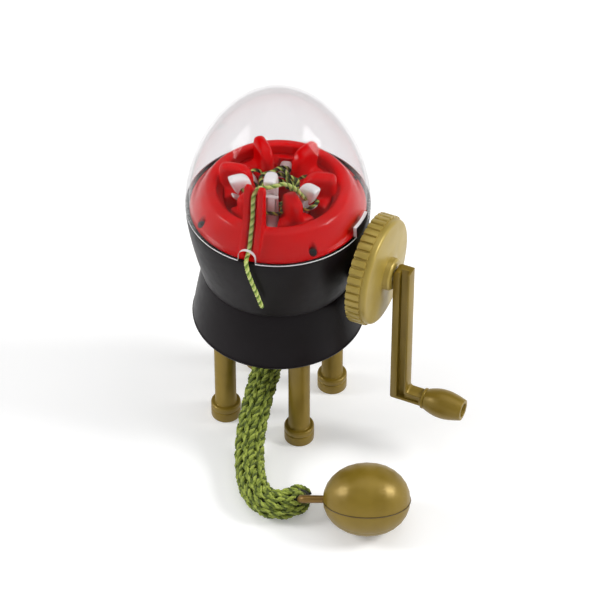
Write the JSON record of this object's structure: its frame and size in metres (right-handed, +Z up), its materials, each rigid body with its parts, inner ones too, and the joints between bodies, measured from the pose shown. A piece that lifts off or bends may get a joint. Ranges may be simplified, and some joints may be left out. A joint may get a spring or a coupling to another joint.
{
  "type": "i-cord knitting machine",
  "caption": "Hand-cranked i-cord knitting machine: egg-shaped body on legs, clear lift-off dome, ring of latch needles, ridged hand wheel with crank, knitted cord and egg weight.",
  "frame": {"origin": "on the floor, under the vertical axis of the needle ring, at the centre of the four feet", "axes": "+Z up, +X along the crank shaft towards the grip, -Y towards the yarn guide at the front"},
  "size_m": [0.1423, 0.1255, 0.196],
  "materials": {
    "black_plastic": "satin",
    "gold_plastic": "satin metallic",
    "red_plastic": "gloss",
    "white_plastic": "gloss",
    "clear_plastic": "clear gloss",
    "steel": "satin",
    "bush": "satin",
    "yarn": "soft"
  },
  "bodies": {
    "frame": {"body_shell": "black_plastic", "base_skirt": "black_plastic", "base_plate": "black_plastic", "leg_front_left": "gold_plastic", "leg_front_right": "gold_plastic", "leg_back_left": "gold_plastic", "leg_back_right": "gold_plastic", "leg_screws": "steel", "plate_screws": "steel", "body_screws": "steel", "lower_bush": "bush", "shaft_bush": "bush", "cam_ring": "red_plastic", "needle_cover": "red_plastic", "cover_screws": "steel", "i_cord": "yarn", "yarn_tail": "yarn", "egg_upper": "gold_plastic", "egg_lower": "gold_plastic", "egg_ballast": "steel", "egg_hook": "gold_plastic"},
    "dome": {"dome": "clear_plastic"},
    "crank": {"drive_wheel": "gold_plastic", "crank_shaft": "steel", "drive_pinion": "white_plastic", "crank_arm": "gold_plastic", "grip_pin": "steel"},
    "grip": {"crank_grip": "gold_plastic"},
    "carrier": {"needle_carrier": "red_plastic", "crown_gear": "white_plastic", "gear_screws": "steel"},
    "needle_1": {"needle_1": "white_plastic"},
    "latch_1": {"latch_1": "white_plastic"},
    "needle_2": {"needle_2": "white_plastic"},
    "latch_2": {"latch_2": "white_plastic"},
    "needle_3": {"needle_3": "white_plastic"},
    "latch_3": {"latch_3": "white_plastic"},
    "needle_4": {"needle_4": "white_plastic"},
    "latch_4": {"latch_4": "white_plastic"},
    "needle_5": {"needle_5": "white_plastic"},
    "latch_5": {"latch_5": "white_plastic"},
    "needle_6": {"needle_6": "white_plastic"},
    "latch_6": {"latch_6": "white_plastic"}
  },
  "joints": [
    {"name": "carrier_turn", "type": "hinge", "parent": "frame", "child": "carrier", "pos_m": [0, 0, 0.1], "axis": [0, 0, 1], "continuous": true},
    {"name": "crank_turn", "type": "hinge", "parent": "frame", "child": "crank", "pos_m": [0.04, 0, 0.1073], "axis": [1, 0, 0], "continuous": true},
    {"name": "grip_spin", "type": "hinge", "parent": "crank", "child": "grip", "pos_m": [0.085, 0, 0.0323], "axis": [1, 0, 0], "continuous": true},
    {"name": "dome_lift", "type": "slide", "parent": "frame", "child": "dome", "axis": [0, 0, 1], "range_m": [0, 0.1]},
    {"name": "needle_1_slide", "type": "slide", "parent": "carrier", "child": "needle_1", "axis": [0, 0, 1], "range_m": [-0.00159, 0.02641]},
    {"name": "needle_2_slide", "type": "slide", "parent": "carrier", "child": "needle_2", "axis": [0, 0, 1], "range_m": [0, 0.028]},
    {"name": "needle_3_slide", "type": "slide", "parent": "carrier", "child": "needle_3", "axis": [0, 0, 1], "range_m": [-0.00202, 0.02598]},
    {"name": "needle_4_slide", "type": "slide", "parent": "carrier", "child": "needle_4", "axis": [0, 0, 1], "range_m": [-0.01647, 0.01153]},
    {"name": "needle_5_slide", "type": "slide", "parent": "carrier", "child": "needle_5", "axis": [0, 0, 1], "range_m": [-0.02798, 0.00002]},
    {"name": "needle_6_slide", "type": "slide", "parent": "carrier", "child": "needle_6", "axis": [0, 0, 1], "range_m": [-0.01521, 0.01279]},
    {"name": "latch_1_swing", "type": "hinge", "parent": "needle_1", "child": "latch_1", "pos_m": [0.0116, 0.0116, 0.12209], "axis": [0.7071, -0.7071, 0], "range_deg": [-119, 0]},
    {"name": "latch_2_swing", "type": "hinge", "parent": "needle_2", "child": "latch_2", "pos_m": [-0.00424, 0.01584, 0.1205], "axis": [0.9659, 0.2588, 0], "range_deg": [-119, 0]},
    {"name": "latch_3_swing", "type": "hinge", "parent": "needle_3", "child": "latch_3", "pos_m": [-0.01584, 0.00424, 0.12252], "axis": [0.2588, 0.9659, 0], "range_deg": [-119, 0]},
    {"name": "latch_4_swing", "type": "hinge", "parent": "needle_4", "child": "latch_4", "pos_m": [-0.0116, -0.0116, 0.13697], "axis": [-0.7071, 0.7071, 0], "range_deg": [-119, 0]},
    {"name": "latch_5_swing", "type": "hinge", "parent": "needle_5", "child": "latch_5", "pos_m": [0.00424, -0.01584, 0.14848], "axis": [-0.9659, -0.2588, 0], "range_deg": [0, 119]},
    {"name": "latch_6_swing", "type": "hinge", "parent": "needle_6", "child": "latch_6", "pos_m": [0.01584, -0.00424, 0.13571], "axis": [-0.2588, -0.9659, 0], "range_deg": [-119, 0]}
  ],
  "couplings": [
    {"joint": "crank_turn", "follows": "carrier_turn", "ratio": 4.6}
  ]
}
